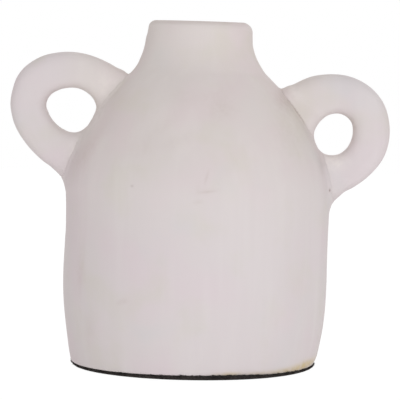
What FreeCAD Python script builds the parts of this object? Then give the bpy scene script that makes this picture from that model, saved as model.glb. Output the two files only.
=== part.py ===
"""A two-handled bottle vase in matt ceramic, standing on a felt pad.

The vessel is thrown: a foot that swells into an upright wall, a round shoulder, a sloping
upper shoulder, a hollow curve and a short neck. A thick clay coil is bent into a ring on each
side. Its roots flare where they are pressed on the shoulder, and the wall closes the ring's
eye. The left ring sits higher than the right one. Millimetres, +Z up, origin on the vessel's
axis where the pad meets the table, handles along X.
"""

import FreeCAD, Part
import Sketcher
import math
import os

# Driving sizes, in millimetres and degrees. Each row is an alias, a value and what it is.
SIZES = [
    ("pad_thickness", 2.4, "felt pad between the vase and the table"),
    ("pad_inset", 0.3, "how far the pad's edge stays inside the foot"),
    ("pad_bevel", 0.4, "cut corner round the pad's lower edge"),
    ("base_radius", 71.4, "foot of the wall"),
    ("belly_swell", 5.3, "how much wider the upright wall is than the foot"),
    ("belly_rise", 51.3, "height over which the foot swells into the wall"),
    ("straight_height", 46.7, "upright part of the wall"),
    ("shoulder_round", 51.0, "radius of the lower shoulder"),
    ("shoulder_turn", 19.5, "angle that the lower shoulder turns through"),
    ("slope_round", 133.0, "radius of the flatter upper shoulder"),
    ("neck_hollow", 33.0, "radius of the hollow curve into the neck"),
    ("neck_radius", 30.8, "outside of the neck"),
    ("neck_length", 7.5, "upright part of the neck, lip included"),
    ("wall_thickness", 6.5, "thickness of the thrown wall"),
    ("floor_thickness", 8.0, "thickness of the vessel's floor"),
    ("heel_round", 12.0, "inside corner between floor and wall"),
    ("foot_round", 0.9, "softened lower edge of the wall"),
    ("lip_outside", 3.9, "rounding of the lip towards the outside"),
    ("lip_inside", 2.2, "rounding of the lip towards the mouth"),
    ("left_eye_rise", 47.5, "centre of the left eye above the upright wall"),
    ("left_eye_radius", 13.4, "mean radius of the left eye"),
    ("left_coil", 20.8, "thickness of the left coil"),
    ("right_eye_rise", 34.8, "centre of the right eye above the upright wall"),
    ("right_eye_radius", 11.8, "mean radius of the right eye"),
    ("right_coil", 21.8, "thickness of the right coil"),
    ("cut_overrun", 5.0, "how far a cutting shape runs past what it cuts"),
]

# An eye's centre stands off the wall by this share of the eye's radius.
LEFT_STANDOFF_SHARE = 1.105
RIGHT_STANDOFF_SHARE = 1.127

# Sections round each ring: the angle from the outward horizontal in degrees, the eye's radius
# there as a share of its mean, the coil's height there as a share of its named thickness, and
# its depth, front to back, as a share of that height. The roots are pressed wider than the coil.
# The first and the last sections lie inside the vessel, where the roots are cut off.
LEFT_SECTION_SHARES = [
    (-125, 1.120, 1.100, 0.96),
    (-104, 1.035, 1.220, 0.94),
    (-84, 1.000, 1.230, 0.94),
    (-66, 0.955, 1.080, 0.99),
    (-40, 0.940, 1.000, 1.00),
    (-10, 1.020, 1.020, 0.98),
    (15, 1.110, 1.020, 0.98),
    (35, 1.070, 1.085, 0.96),
    (55, 0.980, 1.080, 0.96),
    (80, 0.925, 1.020, 0.99),
    (110, 0.950, 0.980, 1.00),
    (134, 0.985, 1.060, 0.99),
    (150, 1.030, 1.230, 0.94),
    (171, 1.070, 1.240, 0.94),
    (195, 1.120, 1.100, 0.98),
]
RIGHT_SECTION_SHARES = [
    (-130, 1.200, 1.020, 0.98),
    (-110, 1.060, 1.220, 0.94),
    (-92, 1.030, 1.270, 0.91),
    (-76, 1.010, 1.030, 0.99),
    (-50, 0.950, 0.940, 1.00),
    (-20, 0.915, 0.980, 0.98),
    (10, 0.965, 0.985, 0.98),
    (40, 1.065, 0.995, 0.98),
    (70, 1.060, 1.025, 0.96),
    (95, 1.000, 1.075, 0.94),
    (112, 0.960, 1.140, 0.92),
    (128, 0.935, 1.200, 0.92),
    (145, 0.930, 1.370, 0.86),
    (170, 0.970, 1.280, 0.92),
    (195, 1.190, 1.080, 0.98),
]

# How a sketch counts a curve itself, its start, its end and its centre, and, from below zero,
# its own upright axis and its origin.
WHOLE, START, END, CENTRE = range(4)
VERTICAL_AXIS, ROOT = range(-2, 0)

# The two lip roundings together take at most this share of the wall.
LIP_LIMIT_SHARE = 0.96
# An edge counts as found when it lies this near the circle that was asked for.
EDGE_TOLERANCE = 0.01


def add_sizes(doc):
    """Makes the sheet that holds the driving sizes."""
    sheet = doc.addObject("Spreadsheet::Sheet", "Sizes")
    for row, (alias, value, note) in enumerate(SIZES, start=1):
        sheet.set(f"A{row}", alias)
        sheet.set(f"B{row}", str(value))
        sheet.set(f"C{row}", note)
        sheet.setAlias(f"B{row}", alias)
    doc.recompute()
    return sheet


doc = FreeCAD.newDocument("two_handled_vase")
sheet = add_sizes(doc)


def size(alias):
    """The value of one driving size."""
    return float(sheet.get(alias))


# What the vessel's parts share, written once as expressions on the sheet.
BASE_HEIGHT = "Sizes.pad_thickness"
BELLY_HEIGHT = f"({BASE_HEIGHT} + Sizes.belly_rise)"
SHOULDER_HEIGHT = f"({BELLY_HEIGHT} + Sizes.straight_height)"
BELLY_RADIUS = "(Sizes.base_radius + Sizes.belly_swell)"
FOOT_ARC_RADIUS = "((Sizes.belly_rise ^ 2 + Sizes.belly_swell ^ 2) / (2 * Sizes.belly_swell))"

# The same places as numbers, for the first position of the sketched lines and for the edges.
base_height = size("pad_thickness")
belly_height = base_height + size("belly_rise")
shoulder_height = belly_height + size("straight_height")
belly_radius = size("base_radius") + size("belly_swell")
foot_arc_radius = (size("belly_rise") ** 2 + size("belly_swell") ** 2) / (2 * size("belly_swell"))
shoulder_turn = math.radians(size("shoulder_turn"))

# The centre of the upper shoulder's arc, from which the wall's radius at an eye follows.
SLOPE_CENTRE_RADIUS = (
    f"({BELLY_RADIUS} - Sizes.shoulder_round + (Sizes.shoulder_round - Sizes.slope_round)"
    " * cos(Sizes.shoulder_turn))"
)
SLOPE_CENTRE_HEIGHT = (
    f"({SHOULDER_HEIGHT} + (Sizes.shoulder_round - Sizes.slope_round) * sin(Sizes.shoulder_turn))"
)
slope_centre_radius = (
    belly_radius
    - size("shoulder_round")
    + (size("shoulder_round") - size("slope_round")) * math.cos(shoulder_turn)
)
slope_centre_height = shoulder_height + (
    size("shoulder_round") - size("slope_round")
) * math.sin(shoulder_turn)

# The upper shoulder turns until the hollow arc, tangent to it, ends upright at the neck.
slope_turn = math.acos(
    (size("neck_radius") + size("neck_hollow") - slope_centre_radius)
    / (size("slope_round") + size("neck_hollow"))
)
neck_start_height = slope_centre_height + (
    size("slope_round") + size("neck_hollow")
) * math.sin(slope_turn)
mouth_height = neck_start_height + size("neck_length")


def origin_plane(body, role):
    """One of a body's own origin planes."""
    return next(o for o in body.Origin.OriginFeatures if o.Role == role)


def new_body(name):
    return doc.addObject("PartDesign::Body", name)


def new_sketch(body, name, role="YZ_Plane"):
    """An empty sketch on one of the body's origin planes."""
    sketch = body.newObject("Sketcher::SketchObject", name)
    sketch.AttachmentSupport = (origin_plane(body, role), [""])
    sketch.MapMode = "FlatFace"
    return sketch


def bind(sketch, index, name, expression):
    """Names a constraint and binds it to the sheet."""
    sketch.renameConstraint(index, name)
    sketch.setExpression(f"Constraints.{name}", expression)


def point(x, y):
    return FreeCAD.Vector(x, y, 0)


def arc(centre, radius, start, end):
    """An arc of a sketch, anticlockwise from one angle to another, in radians."""
    circle = Part.Circle(centre, FreeCAD.Vector(0, 0, 1), radius)
    return Part.ArcOfCircle(circle, start, end)


def draw_turned_outline(sketch, inset, inset_words, bottom, bottom_words, top, top_words):
    """Half of the vessel's section, from the axis: the outside if inset is 0, or the hollow.

    The hollow's arcs share their centres with the outside's, so the wall keeps its thickness.
    """
    belly = belly_radius - inset
    foot_radius = foot_arc_radius - inset
    round_radius = size("shoulder_round") - inset
    slope_radius = size("slope_round") - inset
    hollow_radius = size("neck_hollow") + inset
    neck = size("neck_radius") - inset

    foot_centre = point(belly_radius - foot_arc_radius, belly_height)
    foot_angle = math.asin((bottom - belly_height) / foot_radius)
    foot = foot_centre + point(math.cos(foot_angle), math.sin(foot_angle)) * foot_radius
    round_centre = point(belly_radius - size("shoulder_round"), shoulder_height)
    slope_centre = point(slope_centre_radius, slope_centre_height)
    hollow_centre = point(size("neck_radius") + size("neck_hollow"), neck_start_height)

    sketch.addGeometry(
        [
            Part.LineSegment(point(0, bottom), foot),
            arc(foot_centre, foot_radius, foot_angle, 0),
            Part.LineSegment(point(belly, belly_height), point(belly, shoulder_height)),
            arc(round_centre, round_radius, 0, shoulder_turn),
            arc(slope_centre, slope_radius, shoulder_turn, slope_turn),
            arc(hollow_centre, hollow_radius, math.pi, math.pi + slope_turn),
            Part.LineSegment(point(neck, neck_start_height), point(neck, top)),
            Part.LineSegment(point(neck, top), point(0, top)),
            Part.LineSegment(point(0, top), point(0, bottom)),
        ],
        False,
    )
    floor, foot_arc, wall, shoulder, slope, hollow, neck_line, mouth, axis = range(9)
    sketch.addConstraint(
        [
            Sketcher.Constraint("Coincident", floor, END, foot_arc, START),
            Sketcher.Constraint("Tangent", foot_arc, END, wall, START),
            Sketcher.Constraint("Tangent", wall, END, shoulder, START),
            Sketcher.Constraint("Tangent", shoulder, END, slope, START),
            Sketcher.Constraint("Tangent", slope, END, hollow, END),
            Sketcher.Constraint("Tangent", hollow, START, neck_line, START),
            Sketcher.Constraint("Coincident", neck_line, END, mouth, START),
            Sketcher.Constraint("Coincident", mouth, END, axis, START),
            Sketcher.Constraint("Coincident", axis, END, floor, START),
            Sketcher.Constraint("Horizontal", floor),
            Sketcher.Constraint("Vertical", wall),
            Sketcher.Constraint("Vertical", neck_line),
            Sketcher.Constraint("Horizontal", mouth),
            Sketcher.Constraint("PointOnObject", axis, START, VERTICAL_AXIS),
            Sketcher.Constraint("PointOnObject", axis, END, VERTICAL_AXIS),
        ]
    )
    radius_inset = f" - {inset_words}"
    sizes = [
        ("bottom", ("DistanceY", ROOT, START, axis, END, bottom), bottom_words),
        ("belly_height", ("DistanceY", ROOT, START, wall, START, belly_height), BELLY_HEIGHT),
        ("belly_radius", ("DistanceX", ROOT, START, wall, START, belly), BELLY_RADIUS + radius_inset),
        ("foot_arc", ("Radius", foot_arc, foot_radius), FOOT_ARC_RADIUS + radius_inset),
        ("shoulder_height", ("DistanceY", ROOT, START, wall, END, shoulder_height), SHOULDER_HEIGHT),
        ("shoulder_arc", ("Radius", shoulder, round_radius), "Sizes.shoulder_round" + radius_inset),
        (
            "shoulder_end",
            ("DistanceY", wall, END, shoulder, END, round_radius * math.sin(shoulder_turn)),
            f"(Sizes.shoulder_round{radius_inset}) * sin(Sizes.shoulder_turn)",
        ),
        ("slope_arc", ("Radius", slope, slope_radius), "Sizes.slope_round" + radius_inset),
        ("hollow_arc", ("Radius", hollow, hollow_radius), f"Sizes.neck_hollow + {inset_words}"),
        ("neck_radius", ("DistanceX", ROOT, START, neck_line, END, neck), "Sizes.neck_radius" + radius_inset),
        ("neck_length", ("DistanceY", neck_line, START, neck_line, END, top - neck_start_height), top_words),
    ]
    for name, constraint, words in sizes:
        index = sketch.addConstraint(Sketcher.Constraint(*constraint))
        bind(sketch, index, name, words)


def draw_outside(sketch):
    draw_turned_outline(
        sketch, 0, "0", base_height, BASE_HEIGHT, mouth_height, "Sizes.neck_length"
    )


def draw_hollow(sketch):
    draw_turned_outline(
        sketch,
        size("wall_thickness"),
        "Sizes.wall_thickness",
        base_height + size("floor_thickness"),
        BASE_HEIGHT + " + Sizes.floor_thickness",
        mouth_height + size("cut_overrun"),
        "Sizes.neck_length + Sizes.cut_overrun",
    )


def turn(body, kind, name, sketch):
    """Turns a sketch round the vessel's axis, to add clay or to take it away."""
    feature = body.newObject(kind, name)
    feature.Profile = sketch
    feature.ReferenceAxis = (sketch, ["V_Axis"])
    feature.Angle = 360
    doc.recompute()
    return feature


def circle_edge(feature, radius, height):
    """The name of a feature's round edge of that radius at that height."""
    for number, edge in enumerate(feature.Shape.Edges, start=1):
        curve = edge.Curve
        if not isinstance(curve, Part.Circle):
            continue
        near_radius = abs(curve.Radius - radius) < EDGE_TOLERANCE
        if near_radius and abs(curve.Center.z - height) < EDGE_TOLERANCE:
            return f"Edge{number}"
    raise RuntimeError(f"{feature.Label} has no round edge of radius {radius} at {height}")


def round_edge(body, name, base, edge, words):
    """Rounds one edge of the body, by a size of the sheet."""
    feature = body.newObject("PartDesign::Fillet", name)
    feature.Base = (base, [edge])
    feature.setExpression("Radius", words)
    doc.recompute()
    return feature


def limited_lip(alias):
    """A lip rounding, held back where the wall is too thin for both of them."""
    both = "(Sizes.lip_outside + Sizes.lip_inside)"
    return f"Sizes.{alias} * min(1; {LIP_LIMIT_SHARE} * Sizes.wall_thickness / {both})"


def make_vessel():
    """The thrown wall with its floor, shoulder and neck, hollow and open at the mouth."""
    body = new_body("vessel_body")
    outside = new_sketch(body, "outside_outline")
    draw_outside(outside)
    clay = turn(body, "PartDesign::Revolution", "thrown_outside", outside)
    hollow = new_sketch(body, "hollow_outline")
    draw_hollow(hollow)
    wall = turn(body, "PartDesign::Groove", "thrown_hollow", hollow)
    if wall.Shape.Volume >= clay.Shape.Volume:
        raise RuntimeError("the hollow took nothing away")

    inside_floor = base_height + size("floor_thickness")
    floor_radius = belly_radius - foot_arc_radius + math.sqrt(
        (foot_arc_radius - size("wall_thickness")) ** 2 - (belly_height - inside_floor) ** 2
    )
    mouth_radius = size("neck_radius") - size("wall_thickness")
    heel = round_edge(
        body, "heel", wall, circle_edge(wall, floor_radius, inside_floor), "Sizes.heel_round"
    )
    foot = round_edge(
        body, "foot", heel, circle_edge(heel, size("base_radius"), base_height), "Sizes.foot_round"
    )
    outer_lip = round_edge(
        body,
        "outer_lip",
        foot,
        circle_edge(foot, size("neck_radius"), mouth_height),
        limited_lip("lip_outside"),
    )
    round_edge(
        body,
        "inner_lip",
        outer_lip,
        circle_edge(outer_lip, mouth_radius, mouth_height),
        limited_lip("lip_inside"),
    )
    return body


def make_seat():
    """The vessel's outside as a full solid, which shapes the roots of both rings."""
    body = new_body("seat_shape")
    sketch = new_sketch(body, "seat_outline")
    draw_outside(sketch)
    turn(body, "PartDesign::Revolution", "seat_outside", sketch)
    return body


def make_section(side, number, angle, eye_share, coil_share, depth_share):
    """One oval of a ring, upright on the line from the eye's centre at its angle."""
    section = doc.addObject("Part::Ellipse", f"{side}_section_{number:02d}")
    half_height = f"Sizes.{side}_coil * {coil_share / 2}"
    reach = f"(Sizes.{side}_eye_radius * {eye_share} + {half_height})"
    section.MajorRadius = size(f"{side}_coil") * coil_share / 2
    section.setExpression("MajorRadius", half_height)
    section.setExpression("MinorRadius", f"{half_height} * {depth_share}")
    section.Placement = FreeCAD.Placement(
        FreeCAD.Vector(0, 0, 0), FreeCAD.Rotation(FreeCAD.Vector(0, 1, 0), -angle)
    )
    section.setExpression(".Placement.Base.x", f"{reach} * cos({angle})")
    section.setExpression(".Placement.Base.z", f"{reach} * sin({angle})")
    return section


def make_ring(side, facing, standoff_share, section_shares):
    """A clay coil bent into a ring round its eye, as ovals joined by a loft.

    Its own origin is the eye's centre, with +X pointing away from the vessel, towards the side
    that it faces.
    """
    ring = doc.addObject("Part::Loft", f"{side}_ring")
    ring.Sections = [
        make_section(side, number, *shares)
        for number, shares in enumerate(section_shares, start=1)
    ]
    ring.Solid = True
    ring.Ruled = False
    ring.Closed = False

    eye_height = f"({SHOULDER_HEIGHT} + Sizes.{side}_eye_rise)"
    wall_radius = (
        f"({SLOPE_CENTRE_RADIUS}"
        f" + sqrt(Sizes.slope_round ^ 2 - ({eye_height} - {SLOPE_CENTRE_HEIGHT}) ^ 2))"
    )
    eye_reach = f"({wall_radius} + {standoff_share} * Sizes.{side}_eye_radius)"
    ring.Placement = FreeCAD.Placement(
        FreeCAD.Vector(0, 0, 0),
        FreeCAD.Rotation(FreeCAD.Vector(0, 0, 1), math.degrees(facing)),
    )
    ring.setExpression(".Placement.Base.x", f"{math.cos(facing)} * {eye_reach}")
    ring.setExpression(".Placement.Base.z", eye_height)
    doc.recompute()
    return ring


def make_handle(side, ring, seat):
    """The ring with its roots cut to the vessel's wall, which they seat on face to face."""
    handle = doc.addObject("Part::Cut", f"handle_{side}")
    handle.Base = ring
    handle.Tool = seat
    doc.recompute()
    return handle


def make_pad():
    """The felt disc that the vase stands on, with its lower edge cut back a little."""
    body = new_body("base_pad")
    sketch = new_sketch(body, "pad_outline", "XY_Plane")
    radius = size("base_radius") - size("pad_inset")
    sketch.addGeometry(Part.Circle(point(0, 0), FreeCAD.Vector(0, 0, 1), radius), False)
    sketch.addConstraint(Sketcher.Constraint("Coincident", 0, CENTRE, ROOT, START))
    index = sketch.addConstraint(Sketcher.Constraint("Radius", 0, radius))
    bind(sketch, index, "pad_radius", "Sizes.base_radius - Sizes.pad_inset")
    felt = body.newObject("PartDesign::Pad", "felt_sheet")
    felt.Profile = sketch
    felt.setExpression("Length", "Sizes.pad_thickness")
    doc.recompute()
    bevel = body.newObject("PartDesign::Chamfer", "pad_edge")
    bevel.Base = (felt, [circle_edge(felt, radius, 0)])
    bevel.setExpression("Size", "Sizes.pad_bevel")
    doc.recompute()
    return body


def check(objects):
    """Stops the build if anything failed or a piece isn't one sound solid."""
    for item in doc.Objects:
        if "Invalid" in item.State or "Error" in item.State:
            raise RuntimeError(f"{item.Label} failed: {item.State}")
    for item in objects:
        shape = item.Shape
        if shape.isNull() or not shape.isValid() or len(shape.Solids) != 1:
            raise RuntimeError(f"{item.Label} isn't one sound solid")


seat = make_seat()
left_ring = make_ring("left", math.pi, LEFT_STANDOFF_SHARE, LEFT_SECTION_SHARES)
right_ring = make_ring("right", 0, RIGHT_STANDOFF_SHARE, RIGHT_SECTION_SHARES)
pieces = [
    make_vessel(),
    make_handle("left", left_ring, seat),
    make_handle("right", right_ring, seat),
    make_pad(),
]
doc.recompute()
check(pieces)
os.makedirs("parts", exist_ok=True)
for piece in pieces:
    piece.Shape.exportStep(f"parts/{piece.Label}.step")
    box = piece.Shape.BoundBox
    print(
        f"{piece.Label}: {piece.Shape.Volume / 1000:.1f} cm3,"
        f" x {box.XMin:.1f} to {box.XMax:.1f}, z {box.ZMin:.1f} to {box.ZMax:.1f}"
    )
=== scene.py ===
import math

import bpy
import numpy as np
from mathutils import Matrix, Vector


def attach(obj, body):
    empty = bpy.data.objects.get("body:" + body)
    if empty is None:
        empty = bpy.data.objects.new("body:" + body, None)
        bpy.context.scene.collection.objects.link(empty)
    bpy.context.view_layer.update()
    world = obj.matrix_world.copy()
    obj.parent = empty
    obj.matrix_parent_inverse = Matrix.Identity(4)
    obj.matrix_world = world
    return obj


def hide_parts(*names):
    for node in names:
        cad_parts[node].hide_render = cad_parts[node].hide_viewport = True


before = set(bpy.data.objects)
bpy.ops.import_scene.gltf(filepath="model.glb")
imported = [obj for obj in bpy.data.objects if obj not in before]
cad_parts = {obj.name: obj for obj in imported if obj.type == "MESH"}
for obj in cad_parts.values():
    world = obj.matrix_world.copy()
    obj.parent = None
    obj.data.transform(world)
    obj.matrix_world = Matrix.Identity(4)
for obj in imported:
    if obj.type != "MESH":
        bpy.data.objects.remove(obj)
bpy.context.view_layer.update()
print("frame loaded:", ", ".join(sorted(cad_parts)))

millimetre = 0.001
weldDistance = 0.000002
vectorKind = {"data_type": "FLOAT_VECTOR"}


# A socket of a node tree, with the sums that add Math nodes.
class Wire:
    def __init__(self, board, socket):
        self.board = board
        self.socket = socket

    def at(self, name):  # another output of the same node
        return Wire(self.board, self.socket.node.outputs[name])

    def __add__(self, other):
        return self.board.maths("ADD", self, other)

    def __radd__(self, other):
        return self.board.maths("ADD", other, self)

    def __sub__(self, other):
        return self.board.maths("SUBTRACT", self, other)

    def __rsub__(self, other):
        return self.board.maths("SUBTRACT", other, self)

    def __mul__(self, other):
        return self.board.maths("MULTIPLY", self, other)

    def __rmul__(self, other):
        return self.board.maths("MULTIPLY", other, self)

    def __truediv__(self, other):
        return self.board.maths("DIVIDE", self, other)

    def __rtruediv__(self, other):
        return self.board.maths("DIVIDE", other, self)

    def __pow__(self, other):
        return self.board.maths("POWER", self, other)

    def __neg__(self):
        return self.board.maths("MULTIPLY", self, -1.0)


# A node tree, and the one way in which nodes are added to it.
class Board:
    def __init__(self, tree):
        self.tree = tree

    def add(self, kind, settings=None, inputs=None, out=0):
        node = self.tree.nodes.new(kind)
        for name, value in (settings or {}).items():
            if name == "curve":
                self.setCurve(node.mapping, value)
            else:
                setattr(node, name, value)
        for key, value in (inputs or {}).items():
            if isinstance(value, Wire):
                self.tree.links.new(value.socket, node.inputs[key])
            else:
                node.inputs[key].default_value = value
        return Wire(self, node.outputs[out])

    def setCurve(self, mapping, points):
        mapping.use_clip = False
        mapping.extend = "HORIZONTAL"  # past its ends a curve keeps its last value
        line = mapping.curves[0]
        while len(line.points) < len(points):
            line.points.new(0.5, 0.5)
        for point, place in zip(line.points, sorted(points)):
            point.location = place
            point.handle_type = "AUTO"
        mapping.update()

    def finish(self, kind, socket, value):  # links a value into the tree's last node
        self.tree.links.new(value.socket, self.tree.nodes.new(kind).inputs[socket])

    def here(self):  # where each point is
        return self.add("GeometryNodeInputPosition")

    def normal(self):
        return self.add("GeometryNodeInputNormal")

    def split(self, vector, axis="X"):  # one part of a vector, and the others through at()
        return self.add("ShaderNodeSeparateXYZ", None, {0: vector}, axis)

    def follow(self, curve, value):
        return self.add("ShaderNodeFloatCurve", {"curve": curve}, {"Value": value})

    def maths(self, operation, *values):
        return self.add("ShaderNodeMath", {"operation": operation}, dict(enumerate(values)))

    def vectorMaths(self, operation, *values, out="Vector"):
        return self.add("ShaderNodeVectorMath", {"operation": operation}, dict(enumerate(values)), out)

    def scaled(self, vector, amount):
        return self.add("ShaderNodeVectorMath", {"operation": "SCALE"}, {0: vector, "Scale": amount})

    def point(self, x, y, z):
        return self.add("ShaderNodeCombineXYZ", None, {0: x, 1: y, 2: z})

    def most(self, a, b):
        return self.maths("MAXIMUM", a, b)

    def least(self, a, b):
        return self.maths("MINIMUM", a, b)

    def dot(self, a, b):
        return self.vectorMaths("DOT_PRODUCT", a, b, out="Value")

    def ease(self, value, low, high, start=0.0, end=1.0):  # soft step from start to end
        return self.add("ShaderNodeMapRange", {"interpolation_type": "SMOOTHSTEP"}, {
            "Value": value, "From Min": low, "From Max": high, "To Min": start, "To Max": end})

    def noise(self, place, scale, seed, detail, roughness):
        return self.add("ShaderNodeTexNoise", {"noise_dimensions": "4D"}, {
            "Vector": place, "W": seed, "Scale": scale, "Detail": detail, "Roughness": roughness})

    def bell(self, value, width):  # 1 at zero, falling off over the width
        return self.maths("EXPONENT", -(value / width) ** 2.0)

    def mixColours(self, share, a, b, blend="MIX"):
        settings = {"data_type": "RGBA", "blend_type": blend}
        return self.add("ShaderNodeMix", settings, {0: share, 6: a, 7: b}, 2)

    def mixNumbers(self, share, a, b):
        return self.add("ShaderNodeMix", {"data_type": "FLOAT"}, {0: share, 2: a, 3: b}, 0)

    def mixShaders(self, share, a, b):
        return self.add("ShaderNodeMixShader", None, {0: share, 1: a, 2: b})


# sRGB, 0 to 255, as it is seen, to what a colour socket takes.
def paint(red, green, blue):
    def linear(value):
        value /= 255
        return value / 12.92 if value <= 0.04045 else ((value + 0.055) / 1.055) ** 2.4
    return (linear(red), linear(green), linear(blue), 1.0)


def putOut(name, data):  # a new object in the scene
    thing = bpy.data.objects.new(name, data)
    bpy.context.scene.collection.objects.link(thing)
    return thing


def emptyBoard(owner):  # a board on a material's or a world's nodes, cleared
    owner.use_nodes = True
    owner.node_tree.nodes.clear()
    return Board(owner.node_tree)


# Starts a node tree that shapes a piece, with a named input for each of its sizes.
def newShaper(name, sizes):
    tree = bpy.data.node_groups.new(name, "GeometryNodeTree")
    tree.is_modifier = True
    tree.interface.new_socket("Geometry", in_out="INPUT", socket_type="NodeSocketGeometry")
    tree.interface.new_socket("Geometry", in_out="OUTPUT", socket_type="NodeSocketGeometry")
    kinds = {float: "NodeSocketFloat", tuple: "NodeSocketVector"}
    for label, value in sizes.items():
        kind = kinds.get(type(value), "NodeSocketObject")
        tree.interface.new_socket(label, in_out="INPUT", socket_type=kind)
    board = Board(tree)
    entry = tree.nodes.new("NodeGroupInput")
    given = {label: Wire(board, entry.outputs[label]) for label in sizes}
    return board, given, Wire(board, entry.outputs["Geometry"])


# What only the trees read, and the finished meshes don't keep.
passingNumbers = ("inner", "run", "angle", "slipNear", "slipWay", "leftSeam", "rightSeam")


# Ends the tree, runs it once on the object's mesh and keeps the result as a plain mesh.
def runShaper(board, result, name, mesh, sizes, material):
    done = board.add("GeometryNodeRealizeInstances", None, {0: result})
    done = board.add("GeometryNodeSetShadeSmooth", None, {0: done, "Shade Smooth": True})
    done = board.add("GeometryNodeSetMaterial", None, {0: done, "Material": material})
    board.finish("NodeGroupOutput", 0, done)
    holder = putOut(name + "Shaper", mesh)
    shaper = holder.modifiers.new("shape", "NODES")
    shaper.node_group = board.tree
    for item in board.tree.interface.items_tree:
        if item.in_out == "INPUT" and item.name in sizes:
            shaper[item.identifier] = sizes[item.name]
    holder.update_tag()
    evaluated = holder.evaluated_get(bpy.context.evaluated_depsgraph_get())
    shaped = bpy.data.meshes.new_from_object(evaluated)
    shaped.name = name
    for label in passingNumbers:
        if label in shaped.attributes:
            shaped.attributes.remove(shaped.attributes[label])
    if material is not None:
        shaped.materials.clear()
        shaped.materials.append(material)
        shaped.polygons.foreach_set("material_index", [0] * len(shaped.polygons))
    piece = putOut(name, shaped)
    bpy.data.objects.remove(holder)
    return piece


# Loose points across and up, with numbers of their own where asked.
def pointMesh(name, points, numbers=None):
    mesh = bpy.data.meshes.new(name)
    mesh.from_pydata([(across, 0.0, up) for across, up in points], [], [])
    for label, values in (numbers or {}).items():
        mesh.attributes.new(label, "FLOAT", "POINT").data.foreach_set("value", values)
    return mesh


# A wall of rows and columns: which row and which column each point is in.
def weave(board, rows, columns):
    sheet = board.add("GeometryNodeMeshGrid", None, {"Vertices X": columns + 1.0, "Vertices Y": rows})
    index = board.add("GeometryNodeInputIndex")
    row = board.maths("MODULO", index, rows)
    column = board.maths("FLOOR", (index + 0.5) / rows)
    return sheet, row, column


def close(board, sheet):  # joins the seam and draws each pole to one point
    return board.add("GeometryNodeMergeByDistance", None, {0: sheet, "Distance": weldDistance})


def moveTo(board, piece, place):
    return board.add("GeometryNodeSetPosition", None, {0: piece, "Position": place})


def moveBy(board, piece, offset, where=True):
    inputs = {0: piece, "Selection": where, "Offset": offset}
    return board.add("GeometryNodeSetPosition", None, inputs)


def pushOut(board, piece, amount):  # moves each point along its own normal
    return moveBy(board, piece, board.scaled(board.normal(), amount))


def keepNumber(board, piece, label, value):
    return board.add("GeometryNodeStoreNamedAttribute", None, {0: piece, "Name": label, "Value": value})


def readNumber(board, label):
    return board.add("GeometryNodeInputNamedAttribute", None, {"Name": label})


def lumps(board, scale, seed, detail=1.0, stretch=None):  # soft noise from about -0.5 to 0.5
    place = board.here()
    if stretch is not None:
        place = board.vectorMaths("MULTIPLY", place, stretch)
    return board.noise(place, scale, seed, detail, 0.5) - 0.5


def shapeOf(board, thing):
    settings = {"transform_space": "ORIGINAL"}
    return board.add("GeometryNodeObjectInfo", settings, {"Object": thing}, "Geometry")


# How far a point is from a closed surface, below 0 inside, and which way the surface faces there.
def reachOf(board, shape):
    nearest = board.add("GeometryNodeProximity", {"target_element": "FACES"}, {0: shape}, "Position")
    facing = board.add("GeometryNodeSampleNearestSurface", vectorKind,
                       {"Mesh": shape, "Value": board.normal()}, "Value")
    facing = board.vectorMaths("NORMALIZE", facing)
    away = board.vectorMaths("SUBTRACT", board.here(), nearest)
    side = board.maths("SIGN", board.dot(away, facing))
    return nearest.at("Distance") * side, facing


# Slip wiped into the corner where two plain shapes meet. Each point of the one slides along its own
# normal to the soft union of both, and dives under the other piece past the line where they meet.
def wipeSlip(board, clay, own, other, softness, label):
    begun = reachOf(board, other)[0]
    clay = keepNumber(board, clay, "slipNear", board.maths("LESS_THAN", begun, slipMake["zone"]))
    clay = board.add("GeometryNodeStoreNamedAttribute", vectorKind,
                     {0: clay, "Name": "slipWay", "Value": board.normal()})
    near = board.maths("GREATER_THAN", readNumber(board, "slipNear"), 0.5)
    way = board.add("GeometryNodeInputNamedAttribute", vectorKind, {"Name": "slipWay"})
    for _ in range(slipMake["steps"]):
        ownReach, ownFacing = reachOf(board, own)
        otherReach, otherFacing = reachOf(board, other)
        gap = ownReach - otherReach
        share = board.least(board.most(0.5 - gap / (2.0 * softness), 0.0), 1.0)
        level = otherReach * (1.0 - share) + ownReach * share - softness * share * (1.0 - share)
        past = gap - slipMake["overlap"]
        ownSlope = board.dot(ownFacing, way)
        otherSlope = board.dot(otherFacing, way)
        slope = share * ownSlope + (1.0 - share) * otherSlope
        slope = slope + board.maths("GREATER_THAN", past, 0.0) * (ownSlope - otherSlope)
        step = -(level + board.most(past, 0.0)) / board.most(slope, slipMake["leastSlope"])
        step = board.least(board.most(step, -slipMake["longestStep"]), slipMake["longestStep"])
        clay = moveBy(board, clay, board.scaled(way, step), near)
    apart = board.maths("ABSOLUTE", reachOf(board, own)[0] - reachOf(board, other)[0])
    return keepNumber(board, clay, label, apart)


def slipSoftness(board, ring):  # how wide the slip is wiped changes with the height on the ring
    parts = board.split(board.here())
    rise = (parts.at("Z") - eyeCentre(ring)[1]) * slipMake["stretch"] + 0.5
    width = board.follow(ring["slip"], rise) * millimetre
    side = board.ease(board.maths("ABSOLUTE", parts.at("Y")), *slipMake["turnsToFront"])
    front = board.follow(ring["frontSlip"], rise) * millimetre
    return board.mixNumbers(side, width, front)


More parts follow.
